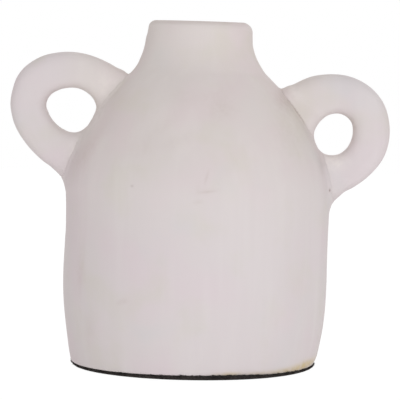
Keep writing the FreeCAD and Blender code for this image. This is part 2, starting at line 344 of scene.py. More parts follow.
# The thrown vessel, in metres.
vessel = {
    "padThickness": 0.0024,
    "baseRadius": 0.0714,
    "bellySwell": 0.0053,
    "bellyRise": 0.0513,
    "straightHeight": 0.0467,
    "shoulderRound": 0.0510,
    "shoulderTurn": 19.5,
    "slopeRound": 0.1330,
    "neckHollow": 0.0330,
    "neckRadius": 0.0308,
    "neckLength": 0.0075,
    "wall": 0.0065,
    "floor": 0.0080,
    "heelRound": 0.0120,
    "footRound": 0.0009,
    "lipOutside": 0.0039,
    "lipInside": 0.0022,
    # how finely the profile is divided
    "outsideStep": 0.0013,
    "insideStep": 0.0028,
    "flatStep": 0.0040,
    "footStep": 0.0004,
    "lipStep": 0.0006,
    "columns": 332,
    "plainColumns": 168,
    "innerRows": 8,  # over so many rows the share of the inside rises from 0 to 1
    "throwingPitch": 0.0085,
    "throwingDepth": 0.00035,
    "handWobble": 0.0005,
    "wobbleScale": 14.0,
    "fluteDepth": 0.00008,
    "fluteScale": 46.0,
    "fluteSeed": 5.0,
    "fluteStretch": (1.0, 1.0, 0.12),
    "fluteClear": (0.004, 0.012),  # how far from a seam the flutes begin and are full
    "wobbleFree": (0.003, 0.02),  # the heights at which the wobble begins and is full
    "seed": 3.7,
    # how far the lip rises on the left, and is worn down on the right in millimetres over its width
    "lipWidth": 0.0068,
    "lipRise": 0.0003,
    "lipWear": [
        (0.0, 0.0), (0.206, 0.35), (0.368, 0.75), (0.559, 1.2), (0.735, 1.6), (0.853, 1.85),
        (0.956, 2.2), (1.0, 2.7),
    ],
    # how thick the felt is under the foot, as a share, from left to right
    "pressedWidth": 0.16,
    "pressed": [
        (0.05, 0.80), (0.22, 0.88), (0.375, 0.99), (0.5, 1.05), (0.62, 1.05), (0.70, 0.93),
        (0.77, 0.72), (0.95, 0.62),
    ],
    "pressedUpTo": (0.004, 0.018),  # the heights at which the wall stops following the felt
    # how far the hand left the wall from true, in millimetres at a share of a height; the middle
    # of floor and foot stays on the axis
    "heldRadius": 0.02,
    "leanHeight": 0.2,
    "leftLean": [
        (0.0, -0.60), (0.04, -0.60), (0.10, -0.42), (0.19, -0.52), (0.25, -0.38), (0.31, 0.0),
        (0.37, 0.58), (0.43, 0.95), (0.48, 0.85), (0.51, 0.40), (0.54, 0.0), (0.58, -0.05),
        (0.70, 0.40), (0.80, 0.50), (0.86, 0.85), (0.90, 0.35), (0.935, 0.35), (0.96, 1.05),
        (0.98, 1.75), (1.0, 2.10),
    ],
    "rightLean": [
        (0.0, -2.3), (0.010, -2.2), (0.018, -1.7), (0.027, -1.15), (0.038, -0.80), (0.05, -0.60),
        (0.09, -0.20), (0.13, 0.0), (0.25, -0.15), (0.34, 0.0), (0.40, 0.30), (0.45, 0.50),
        (0.50, 0.50), (0.62, 0.30), (0.75, 0.10), (0.80, -0.25), (0.84, -0.40), (0.87, 0.12),
        (0.93, 0.18), (0.955, 0.50), (0.975, 0.50), (1.0, 0.25),
    ],
}
# The two coil rings.
rings = {
    "left": {
        "facing": -1.0,
        "eyeRise": 0.0475,
        "eyeRadius": 0.0134,
        "coil": 0.0208,
        "standoffShare": 1.105,
        # width of the slip in millimetres at a height, where 0.5 is the eye's middle
        "slip": [
            (0.05, 11.5), (0.15, 11.0), (0.25, 8.0), (0.35, 5.5), (0.5, 3.0), (0.7, 1.6), (0.9, 1.2),
        ],
        "frontSlip": [(0.05, 8.0), (0.2, 7.0), (0.4, 6.0), (0.6, 5.0), (0.9, 3.0)],
        # angle from the outward horizontal, eye, coil height and depth, each as a share
        "sections": [
            (-125, 1.120, 1.000, 0.98), (-104, 1.030, 1.060, 0.98), (-84, 0.985, 1.148, 0.96),
            (-66, 0.940, 1.066, 0.99), (-40, 0.935, 0.990, 1.00), (-10, 1.020, 1.002, 0.98),
            (15, 1.130, 0.998, 0.98), (35, 1.090, 1.060, 0.96), (55, 1.000, 1.060, 0.96),
            (80, 0.940, 1.005, 0.99), (110, 0.950, 0.980, 1.00), (134, 0.985, 1.055, 0.99),
            (150, 1.030, 1.195, 0.94), (171, 1.070, 1.200, 0.94), (195, 1.120, 1.080, 0.98),
        ],
    },
    "right": {
        "facing": 1.0,
        "eyeRise": 0.0348,
        "eyeRadius": 0.0118,
        "coil": 0.0218,
        "standoffShare": 1.127,
        "slip": [
            (0.05, 12.5), (0.15, 11.0), (0.25, 9.0), (0.35, 5.5), (0.5, 3.0), (0.68, 2.8),
            (0.78, 3.2), (0.9, 3.2),
        ],
        "frontSlip": [(0.05, 9.0), (0.2, 9.0), (0.35, 8.0), (0.5, 4.0), (0.6, 2.0), (0.9, 1.6)],
        "sections": [
            (-130, 1.200, 0.985, 0.98), (-110, 1.060, 1.056, 0.98), (-92, 1.030, 1.095, 0.97),
            (-76, 1.010, 0.988, 0.99), (-50, 0.950, 0.932, 1.00), (-20, 0.915, 0.970, 0.98),
            (10, 0.965, 0.980, 0.98), (40, 1.065, 0.998, 0.98), (70, 1.070, 1.020, 0.96),
            (95, 1.020, 1.060, 0.94), (112, 0.980, 1.125, 0.92), (128, 0.940, 1.196, 0.92),
            (145, 0.930, 1.335, 0.86), (170, 0.970, 1.240, 0.92), (195, 1.190, 1.060, 0.98),
        ],
    },
}
slipMake = {
    "zone": 0.024,
    "stretch": 10.0,  # a ring's slip curves run over a tenth of a metre of height
    "turnsToFront": (0.003, 0.009),  # how far from the middle plane the front's curve takes over
    "steps": 7,
    "overlap": 0.0003,
    "leastSlope": 0.35,
    "longestStep": 0.003,
}
ringMake = {
    "rows": 230,
    "columns": 96,
    # a ring is cut off this deep in the wall, by a core that ends below the mouth
    "rootDepth": 0.0022,
    "coreStep": 0.004,
    "coreDrop": 0.01,
    "squareness": 0.70,
}

turn = math.radians(vessel["shoulderTurn"])
bellyRadius = vessel["baseRadius"] + vessel["bellySwell"]
bellyHeight = vessel["padThickness"] + vessel["bellyRise"]
shoulderHeight = bellyHeight + vessel["straightHeight"]
footArc = (vessel["bellyRise"] ** 2 + vessel["bellySwell"] ** 2) / (2 * vessel["bellySwell"])
fromShoulder = vessel["shoulderRound"] - vessel["slopeRound"]
slopeCentre = (bellyRadius - vessel["shoulderRound"] + fromShoulder * math.cos(turn),
               shoulderHeight + fromShoulder * math.sin(turn))
hollowReach = vessel["slopeRound"] + vessel["neckHollow"]
slopeTurn = math.acos((vessel["neckRadius"] + vessel["neckHollow"] - slopeCentre[0]) / hollowReach)
neckStart = slopeCentre[1] + hollowReach * math.sin(slopeTurn)
mouthHeight = neckStart + vessel["neckLength"]


# The points of an arc or a line, evenly spaced, without the first one.
def arcPoints(centre, radius, start, end, step):
    count = max(2, math.ceil(abs(end - start) * radius / step))
    angles = [start + (end - start) * k / count for k in range(1, count + 1)]
    return [(centre[0] + radius * math.cos(a), centre[1] + radius * math.sin(a)) for a in angles]


def linePoints(start, end, step):
    count = max(1, math.ceil(math.dist(start, end) / step))
    return [tuple(np.add(start, np.subtract(end, start) * k / count)) for k in range(1, count + 1)]


# The outer curve of the turned wall from foot to mouth, drawn in by an inset.
def wallCurve(inset, step, fromAngle):
    points = arcPoints((bellyRadius - footArc, bellyHeight), footArc - inset, fromAngle, 0.0, step)
    points += linePoints(points[-1], (bellyRadius - inset, shoulderHeight), step)
    points += arcPoints((bellyRadius - vessel["shoulderRound"], shoulderHeight),
                        vessel["shoulderRound"] - inset, 0.0, turn, step)
    points += arcPoints(slopeCentre, vessel["slopeRound"] - inset, turn, slopeTurn, step)
    points += arcPoints((vessel["neckRadius"] + vessel["neckHollow"], neckStart),
                        vessel["neckHollow"] + inset, math.pi + slopeTurn, math.pi, step)
    return points


# Where a corner's rounding touches the foot arc: the rounding's centre, and the angle there.
def cornerOnFoot(bottom, inset, rounding):
    height = bottom + rounding
    reach = footArc - inset - rounding
    across = bellyRadius - footArc + math.sqrt(reach ** 2 - (height - bellyHeight) ** 2)
    return (across, height), math.atan2(height - bellyHeight, across - bellyRadius + footArc)


def wallProfile():
    bottom = vessel["padThickness"]
    footCentre, footAngle = cornerOnFoot(bottom, 0.0, vessel["footRound"])
    outside = [(0.0, bottom)] + linePoints((0.0, bottom), (footCentre[0], bottom), vessel["flatStep"])
    outside += arcPoints(footCentre, vessel["footRound"], -math.pi / 2, footAngle, vessel["footStep"])
    outside += wallCurve(0.0, vessel["outsideStep"], footAngle)
    lip = vessel["lipOutside"]
    outside += linePoints(outside[-1], (vessel["neckRadius"], mouthHeight - lip), vessel["outsideStep"])
    outside += arcPoints((vessel["neckRadius"] - lip, mouthHeight - lip), lip, 0.0, math.pi / 2,
                         vessel["lipStep"])
    mouth = vessel["neckRadius"] - vessel["wall"]
    lip = vessel["lipInside"]
    inside = [(mouth + lip, mouthHeight)]
    inside += arcPoints((mouth + lip, mouthHeight - lip), lip, math.pi / 2, math.pi, vessel["lipStep"])
    inside += linePoints(inside[-1], (mouth, neckStart), vessel["insideStep"])
    floor = bottom + vessel["floor"]
    heelCentre, heelAngle = cornerOnFoot(floor, vessel["wall"], vessel["heelRound"])
    inside += wallCurve(vessel["wall"], vessel["insideStep"], heelAngle)[-2::-1]
    inside += arcPoints(heelCentre, vessel["heelRound"], heelAngle, -math.pi / 2, vessel["insideStep"])
    inside += linePoints(inside[-1], (0.0, floor), vessel["insideStep"])
    points = outside + inside
    innerShare = [0.0] * len(outside) + [min(1.0, k / vessel["innerRows"]) for k in range(len(inside))]
    run = np.concatenate([[0.0], np.cumsum(np.linalg.norm(np.diff(points, axis=0), axis=1))])
    return points, innerShare, run


def coreProfile():  # the wall's outside, drawn in, as one closed shape
    depth, step = ringMake["rootDepth"], ringMake["coreStep"]
    top = mouthHeight - ringMake["coreDrop"]
    points = [(0.0, vessel["padThickness"] + depth)]
    start = math.asin((points[0][1] - bellyHeight) / (footArc - depth))
    points += wallCurve(depth, step, start)
    return points + linePoints(points[-1], (vessel["neckRadius"] - depth, top), step) + [(0.0, top)]


def pressed(board, sideways):  # the felt's thickness, as a share, at a place from left to right
    return board.follow(vessel["pressed"], sideways / vessel["pressedWidth"] + 0.5)


# A wall woven from a profile, with the radius and height of each row and the angle of each column.
def wind(board, given, profile):
    rows = board.add("GeometryNodeAttributeDomainSize", None, {0: profile}, "Point Count")
    sheet, row, column = weave(board, rows, given["Columns"])
    parts = board.split(board.add("GeometryNodeSampleIndex", vectorKind,
                                  {0: profile, 1: board.here(), 2: row}))
    return sheet, row, parts.at("X"), parts.at("Z"), column * math.tau / given["Columns"]


# Turns a profile round the axis. The hand's lean draws the left and the right side apart.
def turnedShape(board, given, profile):
    sheet, row, radius, height, angle = wind(board, given, profile)
    across = board.maths("COSINE", angle)
    level = height / vessel["leanHeight"]
    leans = [board.follow(vessel[side], level) for side in ("leftLean", "rightLean")]
    shift = board.mixNumbers((1.0 + across) / 2.0, *leans) * millimetre
    held = board.ease(radius, 0.0, vessel["heldRadius"])
    mouth = vessel["neckRadius"] - vessel["lipWidth"]
    worn = board.follow(vessel["lipWear"], (radius - mouth) / vessel["lipWidth"]) * millimetre
    onLip = board.add("ShaderNodeMapRange", None, {
        "Value": height, "From Min": neckStart, "From Max": mouthHeight - vessel["lipOutside"]})
    worn = (worn * (1.0 + across) ** 2.0 / 4.0 - (1.0 - across) * vessel["lipRise"] / 2.0) * onLip
    sideways = radius * across + shift * held
    sunk = (pressed(board, sideways) - 1.0) * vessel["padThickness"]
    sunk = sunk * board.ease(height, *vessel["pressedUpTo"], 1.0, 0.0)
    along = radius * board.maths("SINE", angle)
    sheet = moveTo(board, sheet, board.point(sideways, along, height - worn + sunk))
    for label in ("inner", "run"):
        number = board.add("GeometryNodeSampleIndex", {"data_type": "FLOAT"},
                           {0: profile, 1: readNumber(board, label), 2: row})
        sheet = keepNumber(board, sheet, label, number)
    sheet = keepNumber(board, sheet, "angle", angle)
    return close(board, sheet)


def plainTurned(name, points):
    sizes = {"Columns": float(vessel["plainColumns"])}
    board, given, profile = newShaper(name, sizes)
    mesh = pointMesh(name + "Profile", points)
    return runShaper(board, turnedShape(board, given, profile), name, mesh, sizes, None)


# Where the middle of a ring's eye is, across and up.
def eyeCentre(ring):
    height = shoulderHeight + ring["eyeRise"]
    wall = slopeCentre[0] + math.sqrt(vessel["slopeRound"] ** 2 - (height - slopeCentre[1]) ** 2)
    return ring["facing"] * (wall + ring["standoffShare"] * ring["eyeRadius"]), height


def coilShape(board, given, ring):
    sheet, row, column = weave(board, given["Rows"], given["Columns"])
    first, last = ring["sections"][0][0], ring["sections"][-1][0]
    share = row / (given["Rows"] - 1.0)
    places = [((angle - first) / (last - first), *rest) for angle, *rest in ring["sections"]]
    eye, coil, depth = (board.follow([(p[0], p[k]) for p in places], share) for k in (1, 2, 3))
    angle = (first + share * (last - first)) * math.radians(1.0)
    half = given["Coil"] / 2.0 * coil
    reach = given["Eye Radius"] * eye + half
    inside = board.most(board.least(row, given["Rows"] - 1.0 - row), 0.0)
    half = half * board.least(inside, 1.0)  # the first and the last row close the ends
    turned = column * math.tau / given["Columns"]

    def flattened(value):  # draws a circle's sine or cosine towards a square with round corners
        return board.maths("SIGN", value) * board.maths("ABSOLUTE", value) ** ringMake["squareness"]

    out = reach + half * flattened(board.maths("COSINE", turned))
    offset = board.point(
        given["Facing"] * out * board.maths("COSINE", angle),
        given["Facing"] * half * depth * flattened(board.maths("SINE", turned)),
        out * board.maths("SINE", angle),
    )
    place = board.vectorMaths("ADD", given["Eye Centre"], offset)
    return close(board, moveTo(board, sheet, place))


def ringSizes(ring):
    x, z = eyeCentre(ring)
    return {
        "Rows": float(ringMake["rows"]),
        "Columns": float(ringMake["columns"]),
        "Facing": ring["facing"],
        "Eye Centre": (x, 0.0, z),
        "Eye Radius": ring["eyeRadius"],
        "Coil": ring["coil"],
    }


def plainRing(name, ring):
    sizes = ringSizes(ring)
    board, given, _ = newShaper(name, sizes)
    mesh = pointMesh(name, [(0.0, 0.0)])
    return runShaper(board, coilShape(board, given, ring), name, mesh, sizes, None)


# The clay's finish.
chalk = {
    "body": paint(218, 209, 208),
    "pink": paint(219, 207, 208),
    "buff": paint(214, 207, 199),
    "grey": paint(212, 208, 207),
    "dust": paint(226, 219, 217),
    # a dark brown for the seams' darkening and for the painted shade on the rim
    "darkBrown": paint(168, 148, 138),
    "crease": paint(122, 92, 80),
    "umber": paint(162, 138, 120),
    "brick": paint(172, 142, 134),
    "olive": paint(186, 176, 158),
    # a pale colour for painted light on the rings
    "cream": paint(240, 232, 226),
    # a pale colour for painted light on the left shoulder and in the rings' eyes
    "rubbed": paint(240, 232, 230),
    "stain": paint(203, 182, 132),
    "roughness": 0.86,
    "specular": 0.25,
    "bump": 0.28,
    "bumpDepth": 0.0004,
    "noiseRoughness": 0.55,
    # cloudy tones over the body: scale, detail, seed and a stretch where it has one, the values
    # at which it begins and is full, strength and colour
    "clouds": [
        (24.0, 2.0, 1.0, 0.42, 0.66, 1.0, "pink"),
        (31.0, 3.0, 2.0, 0.50, 0.72, 0.6, "buff"),
        (27.0, 2.0, 3.0, 0.55, 0.75, 0.5, "grey"),
        (60.0, 3.0, 4.0, (1.0, 1.0, 0.09), 0.45, 0.75, 0.35, "dust"),
    ],
    # a warmer tint high up in the middle
    "lowTint": (0.992, 0.994, 1.0, 1.0),
    "highTint": (0.998, 0.998, 0.968, 1.0),
    "warmHeight": (0.060, 0.150),
    "warmAcross": (0.060, 0.085),
    # the front's marks end at about the middle plane, and ragged noise breaks them up
    "front": (-0.006, 0.004),
    "raggedNoise": (300.0, 3.0, 8.0),
    "ragged": (0.36, 0.60, 0.55, 1.0),
    # darkening along the seams, in width and strength, and painted shade along the top of the rim from
    # so far below the mouth
    "seamNoise": (120.0, 3.0, 5.0),
    "seamWorn": (0.35, 0.65, 0.45, 1.0),
    "seamDirt": (0.0012, 0.05),
    "rimBand": (0.0030, 0.0008),
    "rimShade": 0.13,
    # the surface: fine grain and upright strokes
    "grainNoise": (900.0, 3.0, 6.0),
    "grainShare": 0.35,
    "strokeNoise": (220.0, 3.0, 7.0, (1.0, 1.0, 0.14)),
    "strokeShare": 0.65,
    # soft marks on the front of the wall: place across and up, half length, half width, tilt,
    # strength and colour
    "wallMarks": [
        (0.0137, 0.1505, 0.0080, 0.0062, 20, 0.12, "umber"),
        (0.0090, 0.1590, 0.0120, 0.0040, 15, 0.05, "umber"),
        (-0.0100, 0.1580, 0.0060, 0.0060, 70, 0.05, "umber"),
        (-0.0310, 0.1285, 0.0080, 0.0050, 10, 0.06, "umber"),
        (-0.0115, 0.1325, 0.0080, 0.0035, 25, 0.07, "umber"),
        (-0.0200, 0.1400, 0.0120, 0.0030, 40, 0.04, "umber"),
        # painted shade: these first two brick marks lie beside the left ring's seam, where the wall
        # turns away from the light next to the ring
        (-0.0553, 0.1455, 0.0180, 0.0068, 59, 0.08, "brick"),
        (-0.0635, 0.1250, 0.0150, 0.0038, 62, 0.15, "brick"),
        (-0.0655, 0.0560, 0.0130, 0.0028, 88, 0.13, "brick"),
        (-0.0407, 0.0427, 0.0032, 0.0016, 20, 0.12, "umber"),
        (-0.0600, 0.0250, 0.0090, 0.0030, 85, 0.06, "umber"),
        (-0.0358, 0.1078, 0.0008, 0.0007, 0, 0.25, "crease"),
        # painted light: a paler band on the left shoulder beside the ring, lifting the ring's shade
        # there
        (-0.0580, 0.1440, 0.0180, 0.0042, 60, 0.50, "rubbed"),
        (0.0055, 0.1058, 0.0060, 0.0018, 6, 0.05, "umber"),
        (0.0500, 0.1545, 0.0072, 0.0048, -52, 0.26, "umber"),
        (0.0530, 0.1370, 0.0170, 0.0090, -62, 0.16, "olive"),
        (0.0722, 0.1190, 0.0052, 0.0024, -78, 0.16, "umber"),
        (0.0768, 0.1036, 0.0009, 0.0005, 90, 0.85, "crease"),
        (0.0630, 0.0042, 0.0066, 0.0026, 10, 0.85, "stain"),
        (0.0520, 0.0027, 0.0090, 0.0018, 4, 0.65, "stain"),
        (0.0200, 0.0030, 0.0090, 0.0016, 2, 0.55, "stain"),
        (0.0370, 0.0028, 0.0080, 0.0014, 3, 0.35, "stain"),
    ],
    # the same on the rings, all painted light: pale patches near the roots and under the right eye,
    # standing in for light there
    "ringMarks": [
        (0.0795, 0.1210, 0.0065, 0.0050, 0, 0.75, "cream"),
        (0.0545, 0.1600, 0.0080, 0.0050, -50, 0.35, "cream"),
        (-0.0550, 0.1620, 0.0100, 0.0055, 55, 0.40, "cream"),
        (-0.0690, 0.1250, 0.0065, 0.0050, 60, 0.40, "cream"),
    ],
    # painted light: the rings' eyes made paler round their inner edges, standing in for light that
    # reaches them
    "eyeLight": [
        (-0.0731, 0.1479, 0.0108, 0.0108, 0, 0.8, "rubbed"),
        (0.0793, 0.1352, 0.0100, 0.0100, 0, 1.5, "rubbed"),
    ],
    # thin lines on the wall
    "scratches": [
        (0.0056, 0.1135, 0.0038, 0.0008, 75, 0.11, "umber"),
        (0.0065, 0.1057, 0.0045, 0.0007, 6, 0.14, "umber"),
        (0.0011, 0.1000, 0.0028, 0.0012, 10, 0.08, "umber"),
        (0.0010, 0.1070, 0.0035, 0.0014, 85, 0.04, "umber"),
    ],
    # darker lines along where a ring meets the wall: place, half length, half width, tilt, width
    # of the line and strength
    "creases": [
        (0.0530, 0.1530, 0.0060, 0.0080, -55, 0.0008, 0.26),
        (0.0578, 0.1460, 0.0062, 0.0060, -55, 0.0007, 0.58),
        (0.0712, 0.1225, 0.0060, 0.0060, -75, 0.0007, 0.12),
    ],
}


# The felt's finish.
felt = {
    "dark": paint(38, 35, 34),
    "middle": paint(62, 57, 55),
    "pale": paint(74, 68, 64),
    "paleShare": 0.4,
    # noise scale and detail, and the values at which it begins and is full
    "fibres": (1400.0, 4.0, 0.3, 0.7),
    "patches": (90.0, 2.0, 0.45, 0.75),
    "roughness": 0.97,
    "specular": 0.1,
    "bump": 0.7,
    "bumpDepth": 0.0005,
}


# A material, its board and the places on the object.
def newFinish(name):
    material = bpy.data.materials.new(name)
    material.use_nodes = True
    board = Board(material.node_tree)
    return material, board, board.add("ShaderNodeTexCoord", None, None, "Object")


def finishWith(board, look, colour, height):  # feeds the material's shader
    shader = board.tree.nodes["Principled BSDF"]
    shader.inputs["Roughness"].default_value = look["roughness"]
    shader.inputs["Specular IOR Level"].default_value = look["specular"]
    bump = board.add("ShaderNodeBump", None, {
        "Strength": look["bump"], "Distance": look["bumpDepth"], "Height": height})
    board.tree.links.new(colour.socket, shader.inputs["Base Color"])
    board.tree.links.new(bump.socket, shader.inputs["Normal"])


def makeChalk(name):
    material, board, place = newFinish(name)

    def noise(scale, detail, seed, stretch=(1.0, 1.0, 1.0)):
        stretched = board.add("ShaderNodeMapping", None, {0: place, "Scale": stretch})
        return board.noise(stretched, scale, seed, detail, chalk["noiseRoughness"])

    colour = chalk["body"]
    for *kind, low, high, strength, tone in chalk["clouds"]:
        cloud = board.ease(noise(*kind), low, high) * strength
        colour = board.mixColours(cloud, colour, chalk[tone])
    parts = board.split(place)
    rise = parts.at("Z")
    sideways = board.maths("ABSOLUTE", parts)
    warm = board.ease(rise, *chalk["warmHeight"])
    warm = warm * board.ease(sideways, *chalk["warmAcross"], 1.0, 0.0)
    tint = board.mixColours(warm, chalk["lowTint"], chalk["highTint"])
    colour = board.mixColours(1.0, colour, tint, "MULTIPLY")
    front = board.ease(parts.at("Y"), *chalk["front"], 1.0, 0.0)
    ragged = board.ease(noise(*chalk["raggedNoise"]), *chalk["ragged"]) * front

    def spot(across, up, along, wide, tilt):
        held = board.add("ShaderNodeMapping", {"vector_type": "TEXTURE"}, {
            0: place, "Location": (across, 0.0, up), "Rotation": (0.0, math.radians(-tilt), 0.0),
            "Scale": (along, 1.0, wide)})
        return board.maths("EXPONENT", -board.dot(held, held))

    onWall = board.add("ShaderNodeAttribute", {"attribute_name": "wall"}, None, "Fac")
    # the ring marks and the eyes' marks are painted light; the wall's marks also paint shade and light
    # beside the left ring
    for marks, where in (("wallMarks", ragged * onWall), ("ringMarks", ragged * (1.0 - onWall)),
                         ("eyeLight", 1.0 - onWall), ("scratches", front * onWall)):
        for *shape, strength, stain in chalk[marks]:
            colour = board.mixColours(spot(*shape) * where * strength, colour, chalk[stain])
    seam = board.add("ShaderNodeAttribute", {"attribute_name": "seam"}, None, "Fac")
    # ragged noise breaks up the darker seam lines
    worn = board.ease(noise(*chalk["seamNoise"]), *chalk["seamWorn"])
    for *shape, wide, strength in chalk["creases"]:
        line = board.bell(seam, wide) * spot(*shape) * strength
        colour = board.mixColours(line * worn, colour, chalk["crease"])
    # darker along every seam, broken up by the same noise
    width, strength = chalk["seamDirt"]
    colour = board.mixColours(board.bell(seam, width) * worn * strength, colour, chalk["darkBrown"])
    # painted shade: a darker band along the top of the rim, where the lip turns up away from the light
    low, high = (mouthHeight - below for below in chalk["rimBand"])
    colour = board.mixColours(board.ease(rise, low, high) * chalk["rimShade"], colour, chalk["darkBrown"])
    height = noise(*chalk["grainNoise"]) * chalk["grainShare"]
    height = height + noise(*chalk["strokeNoise"]) * chalk["strokeShare"]
    finishWith(board, chalk, colour, height)
    return material


def makeFelt():
    material, board, place = newFinish("darkFelt")

    def cloud(scale, detail, low, high):
        noise = board.add("ShaderNodeTexNoise", None,
                          {"Vector": place, "Scale": scale, "Detail": detail})
        return noise, board.ease(noise, low, high)

    fibres, shown = cloud(*felt["fibres"])
    colour = board.mixColours(shown, felt["dark"], felt["middle"])
    worn = cloud(*felt["patches"])[1] * felt["paleShare"]
    finishWith(board, felt, board.mixColours(worn, colour, felt["pale"]), fibres)
    return material


pinkChalk = makeChalk("pinkChalk")
darkFelt = makeFelt()
print("finishes made")


# Plain shapes, which the pieces are wiped to and cut to.
profile, innerShare, run = wallProfile()
plainWall = plainTurned("plainWall", profile)
plainCore = plainTurned("plainCore", coreProfile())
plainRings = {side: plainRing(side + "PlainRing", ring) for side, ring in rings.items()}
print("plain shapes made:", len(profile), "rows in the wall")


# The hand's wobble is the same for wall and rings, so that they still meet.
wobbleSizes = {
    "Hand Wobble": vessel["handWobble"],
    "Wobble Scale": vessel["wobbleScale"],
    "Seed": vessel["seed"],
}


def handWobble(board, given):
    return lumps(board, given["Wobble Scale"], given["Seed"]) * given["Hand Wobble"]


def makeVessel():
    sizes = wobbleSizes | {
        "Columns": float(vessel["columns"]),
        "Throwing Pitch": vessel["throwingPitch"],
        "Throwing Depth": vessel["throwingDepth"],
        "Flute Depth": vessel["fluteDepth"],
        "Plain Wall": plainWall,
        "Left Coil": plainRings["left"],
        "Right Coil": plainRings["right"],
    }
    board, given, base = newShaper("vesselWall", sizes)
    clay = turnedShape(board, given, base)
    inner = readNumber(board, "inner")
    wall = shapeOf(board, given["Plain Wall"])
    for side, label in (("left", "Left Coil"), ("right", "Right Coil")):
        coil = shapeOf(board, given[label])
        clay = wipeSlip(board, clay, wall, coil, slipSoftness(board, rings[side]), side + "Seam")
    nearest = board.least(readNumber(board, "leftSeam"), readNumber(board, "rightSeam"))
    clay = keepNumber(board, clay, "seam", nearest + inner)
    clay = keepNumber(board, clay, "wall", 1.0)
    # throwing rings wind up the inside, the hand's wobble and faint upright flutes mark the outside
    wound = readNumber(board, "run") * math.tau / given["Throwing Pitch"] + readNumber(board, "angle")
    clay = pushOut(board, clay, inner * given["Throwing Depth"] * board.maths("SINE", wound))
    free = board.ease(board.split(board.here(), "Z"), *vessel["wobbleFree"])
    flutes = lumps(board, vessel["fluteScale"], given["Seed"] + vessel["fluteSeed"], 2.0,
                   vessel["fluteStretch"]) * given["Flute Depth"]
    flutes = flutes * (1.0 - inner) * board.ease(readNumber(board, "seam"), *vessel["fluteClear"])
    clay = pushOut(board, clay, (handWobble(board, given) + flutes) * free)
    mesh = pointMesh("wallProfile", profile, {"inner": innerShare, "run": run})
    return runShaper(board, clay, "vesselWall", mesh, sizes, pinkChalk)


def makeRing(name, side):
    ring = rings[side]
    sizes = ringSizes(ring) | wobbleSizes | {
        "Plain Coil": plainRings[side],
        "Wall": plainWall,
        "Core": plainCore,
    }
    board, given, _ = newShaper(name, sizes)
    clay = coilShape(board, given, ring)
    coil = shapeOf(board, given["Plain Coil"])
    clay = wipeSlip(board, clay, coil, shapeOf(board, given["Wall"]), slipSoftness(board, ring), "seam")
    clay = pushOut(board, clay, handWobble(board, given))
    clay = board.add("GeometryNodeMeshBoolean", {"operation": "DIFFERENCE", "solver": "MANIFOLD"},
                     {0: clay, 1: shapeOf(board, given["Core"])})
    return runShaper(board, clay, name, pointMesh(name, [(0.0, 0.0)]), sizes, pinkChalk)


vesselWall = makeVessel()
print("vessel made:", len(vesselWall.data.vertices), "points")
ringLeft = makeRing("ringLeft", "left")
ringRight = makeRing("ringRight", "right")
print("rings made:", len(ringLeft.data.vertices), len(ringRight.data.vertices), "points")


# The felt pad, in metres.
pad = {
    "radius": 0.0711,
    "thickness": 0.0024,
    "lowerBevel": 0.0004,
    "upperBevel": (0.0002, 0.0001),  # across and down
    "edgeBulge": 0.00025,
    # how finely the profile is divided
    "flatStep": 0.0040,
    "bevelStep": 0.0002,
    "sideStep": 0.0003,
    "edgeWobble": 0.0005,
    "edgeZone": (0.004, 0.001),  # how far in from the edge the wobble begins and is full
    "drawnIn": 0.0018,  # how much shorter the pad is on the right
    "drawnFrom": 0.5,  # the cosine of the angle from which it is
    "wobbleScale": 160.0,
    "columns": 900,
    "seed": 5.1,
    "frayScale": 520.0,
    "fraySeed": 1.0,
    "fray": (0.00045, 0.00045, 0.0006),
    "frayed": (-0.02, 0.12),
    # the frayed brim: how far in from the edge it begins and is full, from what share of the
    # thickness up, and how far below the top it is full
    "brim": (0.0004, 0.0001),
    "brimFrom": 0.4,
    "brimTop": 0.0002,
    # fibres stand in clumps on the upper part of the edge, and vary in direction and length
    "fibreSeed": 4,
    "fibresAbove": 0.3,
    "fibresFacing": 0.5,
    "clumpScale": 210.0,
    "clumpSeed": 2.0,
    "clumps": (-0.10, 0.14, 0.12, 1.0),
    "fibresPerArea": 1.1e7,
    "fibreLength": 0.0012,
    "fibreRadius": 0.00007,
    "fibreTip": 0.4,
    "fibreStray": ((-0.7, -0.7, 0.15), (0.7, 0.7, 1.3)),
    "fibreShortest": 0.35,
}


def padProfile():
    radius, top, low = pad["radius"], pad["thickness"], pad["lowerBevel"]
    across, down = pad["upperBevel"]
    points = [(0.0, 0.0)] + linePoints((0.0, 0.0), (radius - low, 0.0), pad["flatStep"])
    points += linePoints((radius - low, 0.0), (radius, low), pad["bevelStep"])
    side = linePoints((radius, low), (radius, top - down), pad["sideStep"])
    bulge = [pad["edgeBulge"] * math.sin(math.pi * (z - low) / (top - low)) for _, z in side]
    points += [(x + more, z) for (x, z), more in zip(side, bulge)]
    points += linePoints(points[-1], (radius - across, top), pad["bevelStep"])
    return points + linePoints((radius - across, top), (0.0, top), pad["flatStep"])


